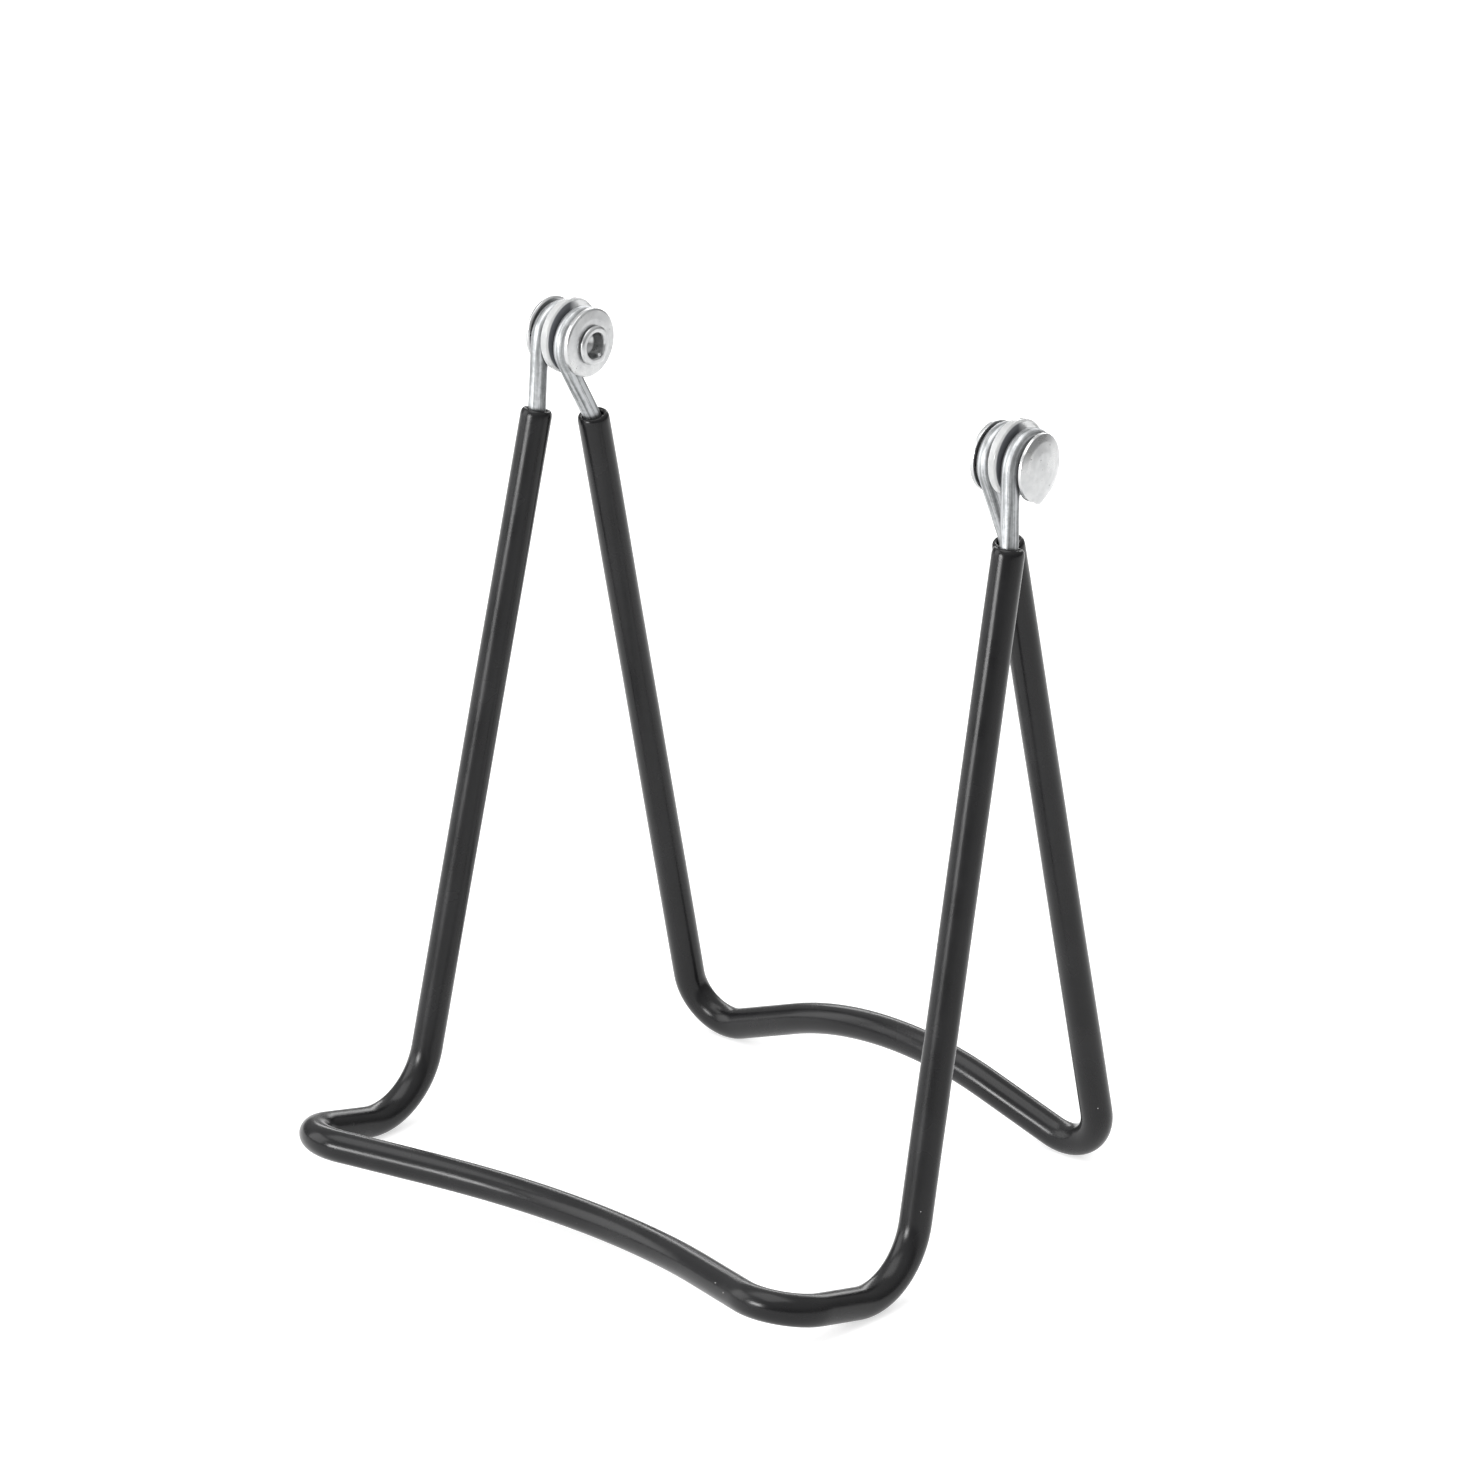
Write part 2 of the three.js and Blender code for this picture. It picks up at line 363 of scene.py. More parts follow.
@dataclass(frozen=True)
class NickelPlate(Finish):
    """Steel stamped and rolled, then tumbled and nickel plated.

    The plate is bright, with small hazy patches, fine scratches from the tumbling and a few dark pits.
    """

    light: str = "bebfbf"
    hazed: str = "acadae"
    pit: str = "6a6a6a"
    roughness: float = 0.24
    dull: float = 0.12
    haze: float = 2.2 * MM
    pit_size: float = 0.5 * MM
    scratch: float = 0.12 * MM
    scratch_depth: float = 0.015 * MM

    def material(self) -> Material:
        """Builds the material, on the object's own coordinates."""
        material, tree, shader = self.started("nickel_plate")
        place = own_place(tree)
        haze = noise(tree, place, self.haze, detail=5.0, roughness=0.6)
        plate = ramped(tree, haze, [(0.3, linear(self.hazed)), (0.62, linear(self.light))])
        pitted = ranged(tree, noise(tree, place, self.pit_size), (0.3, 0.22))
        tree.links.new(covered(tree, plate, linear(self.pit), pitted), shader.inputs["Base Color"])
        rough = ranged(tree, haze, (0.3, 0.7), (self.roughness + self.dull, self.roughness))
        tree.links.new(rough, shader.inputs["Roughness"])
        scratches = noise(tree, place, self.scratch, detail=3.0, distortion=1.2)
        self.embossed(tree, shader, scratches, 0.2, self.scratch_depth)
        shader.inputs["Metallic"].default_value = 1.0
        return material


@dataclass(frozen=True)
class NaturalNylon(Finish):
    """Uncoloured nylon, moulded.

    It is milky and half clear, so its thin edges look light. Beside the wire its faces carry a painted shade,
    a dark film that stands for the shade in the gap between washer and eye.
    """

    colour: str = "f4f5f5"
    cloudy: str = "e8e9e9"
    # painted shade: the dark colour laid on the faces for the shade in the gap beside the eye
    painted_shade_colour: str = "5c5e62"
    roughness: float = 0.16
    dull: float = 0.08
    clearness: float = 0.6
    index: float = 1.53
    cloud: float = 1.8 * MM
    ripple: float = 0.6 * MM
    ripple_depth: float = 0.03 * MM
    middle: float = -2.0 * MM
    face: tuple[float, float] = (0.5 * MM, 0.66 * MM)
    rim: tuple[float, float] = (5.05 * MM, 4.8 * MM)
    lean: tuple[float, float] = (0.9 * MM, -0.6 * MM)

    def painted_gap_shade(self, tree: Tree) -> Socket:
        """Painted shade: a dark film on both faces, on the side towards the front legs, that stands for the
        shade in the gap beside the eye.

        It sets in as three distances go through their ranges: the one from the washer's middle plane through
        face, the one from the axis through rim, and the one towards +Y through lean.
        """
        parts = add_node(tree, "ShaderNodeSeparateXYZ", {}, {"Vector": straightened_place(tree)}).outputs
        depth = calculated(tree, "ABSOLUTE", calculated(tree, "SUBTRACT", parts["Z"], self.middle))
        flat = add_node(tree, "ShaderNodeCombineXYZ", {}, {"X": parts["X"], "Y": parts["Y"]})
        length = add_node(tree, "ShaderNodeVectorMath", {"operation": "LENGTH"}, {0: flat.outputs["Vector"]})
        inside = ranged(tree, length.outputs["Value"], self.rim)
        on_face = calculated(tree, "MULTIPLY", ranged(tree, depth, self.face), inside)
        return calculated(tree, "MULTIPLY", on_face, ranged(tree, parts["X"], self.lean))

    def material(self) -> Material:
        """Builds the material, on the object's own coordinates."""
        material, tree, shader = self.started("natural_nylon")
        place = own_place(tree)
        clouds = noise(tree, place, self.cloud, detail=3.0)
        milk = ramped(tree, clouds, [(0.35, linear(self.cloudy)), (0.65, linear(self.colour))])
        # Painted shade over the milky colour, where the gap beside the eye lies in shade; the washer is made
        # less clear there too.
        painted_gap_shade = self.painted_gap_shade(tree)
        tree.links.new(covered(tree, milk, linear(self.painted_shade_colour), painted_gap_shade), shader.inputs["Base Color"])
        clear = ranged(tree, painted_gap_shade, (0.0, 1.0), (self.clearness, 0.0))
        tree.links.new(clear, shader.inputs["Transmission Weight"])
        rough = ranged(tree, clouds, (0.3, 0.7), (self.roughness + self.dull, self.roughness))
        tree.links.new(rough, shader.inputs["Roughness"])
        self.embossed(tree, shader, noise(tree, place, self.ripple), 0.3, self.ripple_depth)
        shader.inputs["IOR"].default_value = self.index
        return material


@dataclass(frozen=True)
class OpalTable(Finish):
    """Opal acrylic sheet, cast, and lit from below.

    It is an even, pale, matt surface that glows softly, so what stands on it casts only faint shadows.
    """

    colour: str = "c8c8c8"
    glow_colour: str = "ffffff"
    glow: float = 0.62
    tooth: float = 1.2 * MM
    tooth_depth: float = 0.02 * MM
    roughness: float = 0.9
    specular: float = 0.1

    def material(self) -> Material:
        """Builds the material, on the object's own coordinates."""
        material, tree, shader = self.started("opal_acrylic")
        self.embossed(tree, shader, noise(tree, own_place(tree), self.tooth), 0.05, self.tooth_depth)
        shader.inputs["Base Color"].default_value = linear(self.colour)
        shader.inputs["Emission Color"].default_value = linear(self.glow_colour)
        shader.inputs["Emission Strength"].default_value = self.glow
        shader.inputs["Roughness"].default_value = self.roughness
        shader.inputs["Specular IOR Level"].default_value = self.specular
        return material


# ---------------------------------------------------------------- routes


def turned_about(vector: Array, axis: Array, angles: Array) -> Array:
    """Turns one vector about an axis by each of many angles.

    The part along the axis stays. The part across it goes round as cosine and sine of the angle.

    Args:
        vector: the vector, 3 numbers.
        axis: the axis, a unit vector.
        angles: the angles in radians.

    Returns:
        One turned vector for each angle.
    """
    kept = axis * float(vector @ axis)
    across = vector - kept
    return kept + np.outer(np.cos(angles), across) + np.outer(np.sin(angles), np.cross(axis, across))


def unit(vectors: Array) -> Array:
    """The same directions at length 1."""
    return vectors / np.linalg.norm(vectors, axis=-1, keepdims=True)


@dataclass(frozen=True)
class Run:
    """Stations along a centreline: each one's point, direction of travel and untwisted side vector."""

    points: Array
    tangents: Array
    sides: Array

    def distances(self) -> Array:
        """How far along the line each station is."""
        steps = np.linalg.norm(np.diff(self.points, axis=0), axis=1)
        return np.concatenate([[0.0], np.cumsum(steps)])

    def at(self, along: Array) -> "Run":
        """Stations at other distances, each blended linearly from the two beside it.

        Args:
            along: distances along the line.

        Returns:
            A run with one station for each distance.
        """
        known = self.distances()
        blended = [
            np.stack([np.interp(along, known, values[:, i]) for i in range(3)], axis=1)
            for values in (self.points, self.tangents, self.sides)
        ]
        return Run(blended[0], unit(blended[1]), unit(blended[2]))

    def then(self, other: "Run") -> "Run":
        """This run followed by another that starts where it ends."""
        return Run(
            np.concatenate([self.points, other.points[1:]]),
            np.concatenate([self.tangents, other.tangents[1:]]),
            np.concatenate([self.sides, other.sides[1:]]),
        )

    def arc(self, axis: Array, radius: float, turn: float, step: float = math.radians(1.5)) -> "Run":
        """Carries the run on round an arc. Point, direction and side all turn about the arc's own axis.

        Args:
            axis: the arc's axis, a unit vector across the direction of travel.
            radius: the arc's radius.
            turn: how far it turns, in radians.
            step: the largest turn between two stations.

        Returns:
            The longer run.
        """
        point, tangent, side = self.points[-1], self.tangents[-1], self.sides[-1]
        spoke = radius * np.cross(tangent, axis)
        angles = np.linspace(0.0, turn, 2 + math.ceil(turn / step))
        bend = Run(
            point - spoke + turned_about(spoke, axis, angles),
            turned_about(tangent, axis, angles),
            turned_about(side, axis, angles),
        )
        return self.then(bend)

    def straight(self, length: float) -> "Run":
        """Carries the run straight on by a length."""
        end = self.points[-1] + length * self.tangents[-1]
        ahead = Run(
            np.stack([self.points[-1], end]),
            np.stack([self.tangents[-1]] * 2),
            np.stack([self.sides[-1]] * 2),
        )
        return self.then(ahead)

    def through(self, corners: Bends, end: Array) -> "Run":
        """Carries the run through rounded corners to an end.

        Each corner's arc touches both of its straights, radius / tan(half the opening) away from the corner.

        Args:
            corners: each corner's point and bend radius.
            end: the last point.

        Returns:
            The longer run.
        """
        run = self
        points = [at for at, _ in corners] + [end]
        for index, (corner, radius) in enumerate(corners):
            onward = unit(points[index + 1] - corner)
            incoming = run.tangents[-1]
            turn = math.acos(float(np.clip(incoming @ onward, -1.0, 1.0)))
            setback = radius * math.tan(turn / 2)
            run = run.straight(float(np.linalg.norm(corner - run.points[-1])) - setback)
            run = run.arc(unit(np.cross(incoming, onward)), radius, turn)
        return run.straight(float(np.linalg.norm(end - run.points[-1])))


def started(point: Array, tangent: Array, side: Array) -> Run:
    """A run of one station, its side vector squared up to the direction of travel."""
    side = side - tangent * float(side @ tangent)
    return Run(point[None], unit(tangent)[None], unit(side)[None])


def mirror(vector: Array) -> Array:
    """The vector reflected in the plane x = 0."""
    return vector * np.array([-1.0, 1.0, 1.0])


# ---------------------------------------------------------------- surfaces


@dataclass
class Skin:
    """A closed surface as rings of points, one ring after another, with the straightened place of each point.

    Args:
        rings: the points, as (rings, points round a ring, 3).
        straight: the straightened place of each point, in the same shape.
        looped: whether the last ring joins the first; if not, each end closes on a point in its middle.
    """

    rings: Array
    straight: Array
    looped: bool

    def volume_sign(self, faces: Array, points: Array) -> float:
        """Which way the quads face: the sum of corner . (edge x diagonal) is positive where they face out."""
        a, b, c = (points[faces[:, i]] for i in range(3))
        return float(np.sign(np.einsum("ij,ij->i", a - points.mean(0), np.cross(b - a, c - a)).sum()))

    def mesh_object(self, name: str) -> Object:
        """Makes the mesh. Quad (i, j) joins points j and j + 1 of ring i to the same ones of ring i + 1.

        Args:
            name: the piece's name.

        Returns:
            The new object, at the origin, with its place in its mesh.
        """
        count, around = self.rings.shape[:2]
        points = self.rings.reshape(-1, 3)
        straight = self.straight.reshape(-1, 3)
        last = count if self.looped else count - 1
        i, j = np.meshgrid(np.arange(last), np.arange(around), indexing="ij")
        up, on = (i + 1) % count, (j + 1) % around
        quads = [i * around + j, i * around + on, up * around + on, up * around + j]
        quads = np.stack(quads, axis=-1).reshape(-1, 4)
        flip = self.volume_sign(quads, points) < 0
        quads = quads[:, ::-1] if flip else quads
        loops, sizes = [quads.ravel()], [np.full(len(quads), 4)]
        if not self.looped:
            first, final = len(points), len(points) + 1
            points = np.concatenate([points, self.rings[[0, -1]].mean(1)])
            straight = np.concatenate([straight, self.straight[[0, -1]].mean(1)])
            ring, after = np.arange(around), (np.arange(around) + 1) % around
            base = (count - 1) * around
            start = np.stack([after, ring, np.full(around, first)], axis=-1)
            stop = np.stack([base + ring, base + after, np.full(around, final)], axis=-1)
            fans = np.concatenate([start, stop])
            fans = fans[:, ::-1] if flip else fans
            loops.append(fans.ravel())
            sizes.append(np.full(len(fans), 3))
        mesh = bpy.data.meshes.new(name)
        corners, per_face = np.concatenate(loops), np.concatenate(sizes)
        mesh.vertices.add(len(points))
        mesh.vertices.foreach_set("co", points.astype(np.float32).ravel())
        mesh.loops.add(len(corners))
        mesh.loops.foreach_set("vertex_index", corners.astype(np.int32))
        mesh.polygons.add(len(per_face))
        mesh.polygons.foreach_set("loop_start", (np.cumsum(per_face) - per_face).astype(np.int32))
        attribute = mesh.attributes.new(STRAIGHTENED, "FLOAT_VECTOR", "POINT")
        attribute.data.foreach_set("vector", straight.astype(np.float32).ravel())
        mesh.update(calc_edges=True)
        mesh.validate()
        mesh.shade_smooth()
        piece = bpy.data.objects.new(name, mesh)
        bpy.context.scene.collection.objects.link(piece)
        return piece


def swept(run: Run, radii: Array, along: Array, around: int) -> tuple[Array, Array]:
    """Carries a round section along a run.

    A point at angle a of a ring is the station's point + radius x (cos a x side + sin a x (tangent x side)).
    Its straightened place is (radius x cos a, radius x sin a, distance along).

    Args:
        run: one station for each ring.
        radii: the radius, one for each ring or one for each point.
        along: the distance along, one for each ring.
        around: how many points a ring has.

    Returns:
        The rings' points and their straightened places.
    """
    angles = 2 * np.pi * np.arange(around) / around
    radii = radii if radii.ndim == 2 else np.repeat(radii[:, None], around, axis=1)
    uprights = np.cross(run.tangents, run.sides)
    east, north = radii * np.cos(angles), radii * np.sin(angles)
    points = run.points[:, None] + east[..., None] * run.sides[:, None] + north[..., None] * uprights[:, None]
    straight = np.stack([east, north, np.repeat(along[:, None], around, axis=1)], axis=-1)
    return points, straight


def rounded(corners: list[tuple[float, float, float]], looped: bool, steps: int = 6) -> Array:
    """Rounds the corners of a flat profile.

    Each corner is cut back by radius x tan(half its turn) along both edges, and a quadratic blend whose
    control points are the cut, the corner and the cut again joins them.

    Args:
        corners: each corner as (distance from the axis, distance along the axis, radius).
        looped: whether the last corner joins the first.
        steps: how many edges one rounded corner gets.

    Returns:
        The profile's points, as (distance from the axis, distance along it).
    """
    table = np.array(corners, float)
    at, radius = table[:, :2], table[:, 2]
    before, after = np.roll(at, 1, axis=0) - at, np.roll(at, -1, axis=0) - at
    if not looped:
        before[0], after[-1] = after[0], before[-1]
        radius = np.concatenate([[0.0], radius[1:-1], [0.0]])
    reach_before, reach_after = np.linalg.norm(before, axis=1), np.linalg.norm(after, axis=1)
    before, after = unit(before), unit(after)
    turn = np.pi - np.arccos(np.clip((before * after).sum(1), -1.0, 1.0))
    cut = np.minimum(radius * np.tan(np.minimum(turn, 3.0) / 2), 0.49 * np.minimum(reach_before, reach_after))
    start, stop = at + before * cut[:, None], at + after * cut[:, None]
    t = np.linspace(0.0, 1.0, steps + 1)[None, :, None]
    blend = (1 - t) ** 2 * start[:, None] + 2 * t * (1 - t) * at[:, None] + t**2 * stop[:, None]
    keep = np.repeat((cut > 1e-9)[:, None], steps + 1, axis=1)
    keep[:, 0] = True
    return blend[keep]


# ---------------------------------------------------------------- wire frames


@dataclass
class WireFrame:
    """A wire bent to a symmetric frame, with an eye at the top of each leg, and its vinyl sleeve.

    The sleeve is cut by hand, so its right and left mouths are not quite the same distance down the legs.
    """

    name: str
    body: str
    eye_x: float
    leg_top: tuple[float, float]
    kink_distance: float
    mouth_distances: tuple[float, float]
    foot: tuple[float, float]
    foot_bend: float
    bar_bend: float
    phase: float
    eye_radius: float = 3.6 * MM
    eye_wrap: float = math.radians(284)
    kink_bend: float = 6.0 * MM
    ground_flat: float = 0.12 * MM
    bore_radius: float = 1.27 * MM
    lip_radius: float = 0.9 * MM
    cut_edge: float = 0.22 * MM
    cut_clear: float = 0.25 * MM
    wander_height: float = 0.012 * MM
    wander_lengths: tuple[float, float] = (11.0 * MM, 5.3 * MM)
    wire_around: int = 32
    wire_step: float = 0.4 * MM
    tube_around: int = 48
    sleeve_step: float = 0.5 * MM

    def corners(self, foot_z: float) -> tuple[Bends, Array]:
        """The right half's corners below the leg, and the middle of the bar, for a foot at that height."""
        raise NotImplementedError

    def foot_corner(self, foot_z: float) -> Array:
        """Where the leg's line meets the line of the foot."""
        return np.array([self.foot[0], HINGE[1] + self.foot[1], foot_z])

    def down_leg(self, foot_z: float, distance: float) -> Array:
        """The point that distance down the right leg, from where the leg's line meets the hinge's height."""
        top = np.array([self.leg_top[0], HINGE[1] + self.leg_top[1], HINGE[2]])
        return top + distance * unit(self.foot_corner(foot_z) - top)

    def bends(self, foot_z: float) -> Bends:
        """Every corner from the right foot round to the left one, each with its bend radius."""
        half, middle = self.corners(foot_z)
        other = [(mirror(at), radius) for at, radius in reversed(half)]
        return [*half, (middle, self.bar_bend), *other]

    def tube_run(self, foot_z: float) -> Run:
        """The sleeve's centreline, from the right mouth round to the left one."""
        bends = self.bends(foot_z)
        right, left = (self.down_leg(foot_z, distance) for distance in self.mouth_distances)
        run = started(right, unit(bends[0][0] - right), np.array([1.0, 0.0, 0.0]))
        return run.through(bends, mirror(left))

    def standing_height(self) -> float:
        """The foot corner's height that stands the sleeve on the ground, pressed flat by ground_flat."""
        foot_z = 0.0
        for _ in range(5):
            foot_z += TUBE_RADIUS - self.ground_flat - float(self.tube_run(foot_z).points[:, 2].min())
        return foot_z

    def wire_run(self, foot_z: float) -> Run:
        """The wire's centreline, from the right eye's free end round to the left one's.

        The eye is an arc round the hinge axis, and the tangent that it leaves by goes down to the kink.
        It leaves at the kink's direction from the axis, less acos(eye radius / the kink's distance).
        """
        kink = self.down_leg(foot_z, self.kink_distance)
        to_kink = kink[1:] - HINGE[1:]
        leave = math.atan2(to_kink[1], to_kink[0]) - math.acos(self.eye_radius / float(np.hypot(*to_kink)))
        begin = leave - self.eye_wrap
        axis = np.array([1.0, 0.0, 0.0])
        spoke = np.array([0.0, math.cos(begin), math.sin(begin)])
        centre = np.array([self.eye_x, HINGE[1], HINGE[2]])
        run = started(centre + self.eye_radius * spoke, np.cross(axis, spoke), axis)
        run = run.arc(axis, self.eye_radius, self.eye_wrap)
        # The straight from the eye to the kink leaves the eye's plane slightly, so the run turns to it here.
        toward = unit(kink - run.points[-1])
        run = Run(run.points, np.concatenate([run.tangents[:-1], toward[None]]), run.sides)
        right, left = (kink, self.kink_bend), (mirror(kink), self.kink_bend)
        run = run.through([right, *self.bends(foot_z), left], mirror(run.points[-1]))
        inward = np.array([0.0, math.sin(leave), -math.cos(leave)])
        run = Run(run.points, np.concatenate([run.tangents[:-1], inward[None]]), run.sides)
        return run.arc(np.array([-1.0, 0.0, 0.0]), self.eye_radius, self.eye_wrap)

    def build_wire(self, foot_z: float) -> Object:
        """Sweeps the wire, with its two sheared ends slightly rounded."""
        run = self.wire_run(foot_z)
        total = float(run.distances()[-1])
        edge = self.cut_edge
        inner = np.arange(self.cut_clear, total - self.cut_clear, self.wire_step)
        t = np.linspace(0.0, np.pi / 2, 5)
        along = np.concatenate([edge * (1 - np.cos(t)), inner[1:], total - edge * (1 - np.cos(t[::-1]))])
        shrink = edge * (1 - np.sin(t))
        radii = WIRE_RADIUS - np.concatenate([shrink, np.zeros(len(inner) - 1), shrink[::-1]])
        rings, straight = swept(run.at(along), radii, along, self.wire_around)
        return Skin(rings, straight, looped=False).mesh_object(f"{self.name}_wire_frame")

    def build_sleeve(self, foot_z: float) -> Object:
        """Sweeps the sleeve: outside wall, rounded lip, bore and the other lip, as one closed skin.

        The outside wanders by a few hundredths of a millimetre, as two sine waves along it and round it.
        Below the ground's level it is pressed flat.
        """
        run = self.tube_run(foot_z)
        total = float(run.distances()[-1])
        reach = self.lip_radius
        outside = np.arange(reach, total - reach, self.sleeve_step)
        t = np.linspace(0.0, np.pi, 13)[1:-1]
        wall = TUBE_RADIUS - self.bore_radius
        lip_radii = TUBE_RADIUS - wall * (1 - np.cos(t)) / 2
        lip_reach = reach * (1 - np.sin(t))
        bore = outside[::-2]
        along = np.concatenate([outside, total - lip_reach, bore, lip_reach[::-1]])
        walls = np.full(len(outside), TUBE_RADIUS), np.full(len(bore), self.bore_radius)
        base = np.concatenate([walls[0], lip_radii, walls[1], lip_radii[::-1]])
        angles = 2 * np.pi * np.arange(self.tube_around) / self.tube_around
        long_wave, short_wave = (along[:, None] / length for length in self.wander_lengths)
        wander = np.sin(long_wave + 2 * angles + self.phase)
        wander = wander + 0.7 * np.sin(short_wave - 3 * angles + 2 * self.phase)
        radii = base[:, None] + self.wander_height * wander
        rings, straight = swept(run.at(along), radii, along, self.tube_around)
        rings[..., 2] = np.maximum(rings[..., 2], 0.0)
        return Skin(rings, straight, looped=True).mesh_object(f"{self.name}_vinyl_sleeve")

    def build(self, wire: Material, vinyl: Material) -> list[Object]:
        """Makes both pieces, dresses them and puts them on their body.

        Args:
            wire: the wire's finish.
            vinyl: the sleeve's finish.

        Returns:
            The wire and the sleeve.
        """
        foot_z = self.standing_height()
        made = [self.build_wire(foot_z), self.build_sleeve(foot_z)]
        rows = zip(made, (wire, vinyl), (Slot.WIRE, Slot.SLEEVE), ("wire", "sleeve"))
        for piece, finish, slot, node in rows:
            piece.data.materials.append(finish)
            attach(piece, self.body)
            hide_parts(f"{self.name}_{node}")
        return made


@dataclass
class FrontFrame(WireFrame):
    """The front frame: its legs turn forward at the feet into a rising lip, whose bar bows back."""

    lip_length: float = 26.0 * MM
    lip_tilt: float = math.radians(13.15)
    corner_x: float = 43.2 * MM
    corner_bend: float = 6.0 * MM
    bar_setback: float = 15.6 * MM

    def corners(self, foot_z: float) -> tuple[Bends, Array]:
        """The foot and the lip's corner, and the middle of the bar, set back along the lip."""
        foot = self.foot_corner(foot_z)
        along = np.array([0.0, -math.cos(self.lip_tilt), math.sin(self.lip_tilt)])
        corner = foot + self.lip_length * along
        corner[0] = self.corner_x
        middle = corner - self.bar_setback * along
        middle[0] = 0.0
        return [(foot, self.foot_bend), (corner, self.corner_bend)], middle


@dataclass
class BackFrame(WireFrame):
    """The back frame: its legs turn inwards at the feet into a bar that bows up in the legs' plane."""

    bar_rise: float = 13.9 * MM

    def corners(self, foot_z: float) -> tuple[Bends, Array]:
        """The foot, and the middle of the bar, raised along the legs' slope."""
        foot = self.foot_corner(foot_z)
        up_slope = unit(np.array([0.0, self.leg_top[1] - self.foot[1], HINGE[2] - foot_z]))
        middle = foot + self.bar_rise * up_slope
        middle[0] = 0.0
        return [(foot, self.foot_bend)], middle


# ---------------------------------------------------------------- rivets


@dataclass(frozen=True)
class Burr:
    """A small point of metal that the rivet press left on an edge.

    Args:
        angle: where it is round the axis, in radians from +Y towards +Z.
        along: where it is along the axis, outwards from the front eye's middle.
        height: how far it stands out.
        width: its half width round the axis, in radians.
        reach: its half width along the axis.
    """

    angle: float
    along: float
    height: float
    width: float = 0.09
    reach: float = 0.35 * MM


@dataclass
class RivetStack:
    """A semi-tubular rivet with a dished clinch washer and a nylon friction washer, at one end of the hinge.

    Distances along the axis are outwards from the front eye's middle.
    """

    side: Side
    eye_x: float = 40.1 * MM
    around: int = 96
    head_cock: float = 0.0
    head_shift: tuple[float, float] = (0.0, 0.0)
    head_shrink: float = 0.0
    head_start: float = 1.3 * MM
    head_grip: float = 3.5 * MM
    dimple_at: tuple[float, float] = (0.9 * MM, -0.35 * MM)
    dimple_radius: float = 0.42 * MM
    dimple_depth: float = 0.09 * MM
    washer_lift: float = 0.5 * MM
    clinch_lift: float = 0.0
    burrs: tuple[Burr, ...] = ()

    def turned(
        self, name: str, profile: Array, looped: bool, push: Array | None = None, lift: float = 0.0
    ) -> Object:
        """Turns a profile about the hinge axis.

        A point at angle a has x = side x (eye x + along), y = hinge y + radius x cos a and
        z = hinge z + lift + radius x sin a.

        Args:
            name: the piece's name after its side.
            profile: the profile's points, as (distance from the axis, distance along it).
            looped: whether the profile closes on itself.
            push: how far each point moves away from the axis and along it, as (points, around, 2).
            lift: how far above the hinge axis the piece sits.

        Returns:
            The new object.
        """
        angles = 2 * np.pi * np.arange(self.around) / self.around
        spread = np.repeat(profile[:, None], self.around, axis=1)
        spread = spread if push is None else spread + push
        radius, along = spread[..., 0], spread[..., 1]
        x = self.side.value * (self.eye_x + along)
        height = HINGE[2] + lift
        rings = np.stack([x, HINGE[1] + radius * np.cos(angles), height + radius * np.sin(angles)], axis=-1)
        straight = np.stack([radius * np.cos(angles), radius * np.sin(angles), along], axis=-1)
        return Skin(rings, straight, looped).mesh_object(f"{self.side.name.lower()}_{name}")

    def build_rivet(self) -> Object:
        """Turns the rivet: a low domed head outside, the shank, and the rolled clinch and bore inside."""
        corners = [
            (0.0, -4.3, 0.0),
            (1.0, -4.4, 0.4),
            (1.66, -4.9, 0.4),
            (1.66, -6.4, 0.5),
            (1.82, -6.84, 0.3),
            (2.4, -6.84, 0.35),
            (2.74, -6.5, 0.35),
            (2.45, -6.19, 0.15),
            (2.15, -6.19, 0.1),
            (2.15, 1.33, 0.25),
            (4.45, 1.33, 0.1),
            (4.66, 1.55, 0.15),
            (4.58, 1.92, 0.16),
            (3.6, 2.26, 2.5),
            (2.2, 2.54, 2.5),
            (0.05, 2.64, 0.0),
        ]
        profile = rounded([(r * MM, a * MM, c * MM) for r, a, c in corners], looped=False)
        return self.turned("rivet_body", profile, looped=False, push=self.marks(profile))

    def marks(self, profile: Array) -> Array:
        """How far the rivet's points are pushed: a head off true, a small dimple in its dome, and its burrs.

        A cocked head leans by tan(angle) x its distance in front of or behind the axis. A shifted head moves
        along Y and Z, which at angle a is shift y x cos a + shift z x sin a away from the axis.
        The dimple is a bell curve about a point of the dome. Each burr is a bell curve round the axis times
        one along it.

        Args:
            profile: the profile's points, as (distance from the axis, distance along it).

        Returns:
            The push away from the axis and along it, as (points, around, 2).
        """
        angles = 2 * np.pi * np.arange(self.around) / self.around
        radius, along = profile[:, :1], profile[:, 1:]
        y, z = radius * np.cos(angles), radius * np.sin(angles)
        is_head = along > self.head_start
        push = np.zeros((*y.shape, 2))
        push[..., 1] += np.where(is_head, -math.tan(self.head_cock) * y, 0.0)
        off_y, off_z = y - self.dimple_at[0], z - self.dimple_at[1]
        near = np.exp(-(off_y**2 + off_z**2) / self.dimple_radius**2)
        push[..., 1] -= np.where(is_head, self.dimple_depth * near, 0.0)
        outward = self.head_shift[0] * np.cos(angles) + self.head_shift[1] * np.sin(angles) - self.head_shrink
        push[..., 0] += np.where(is_head, outward * np.clip(radius / self.head_grip, 0.0, 1.0), 0.0)
        for burr in self.burrs:
            turn = (angles - burr.angle + np.pi) % (2 * np.pi) - np.pi
            bell = np.exp(-((turn / burr.width) ** 2)) * np.exp(-(((along - burr.along) / burr.reach) ** 2))
            push[..., 0] += burr.height * bell
        return push

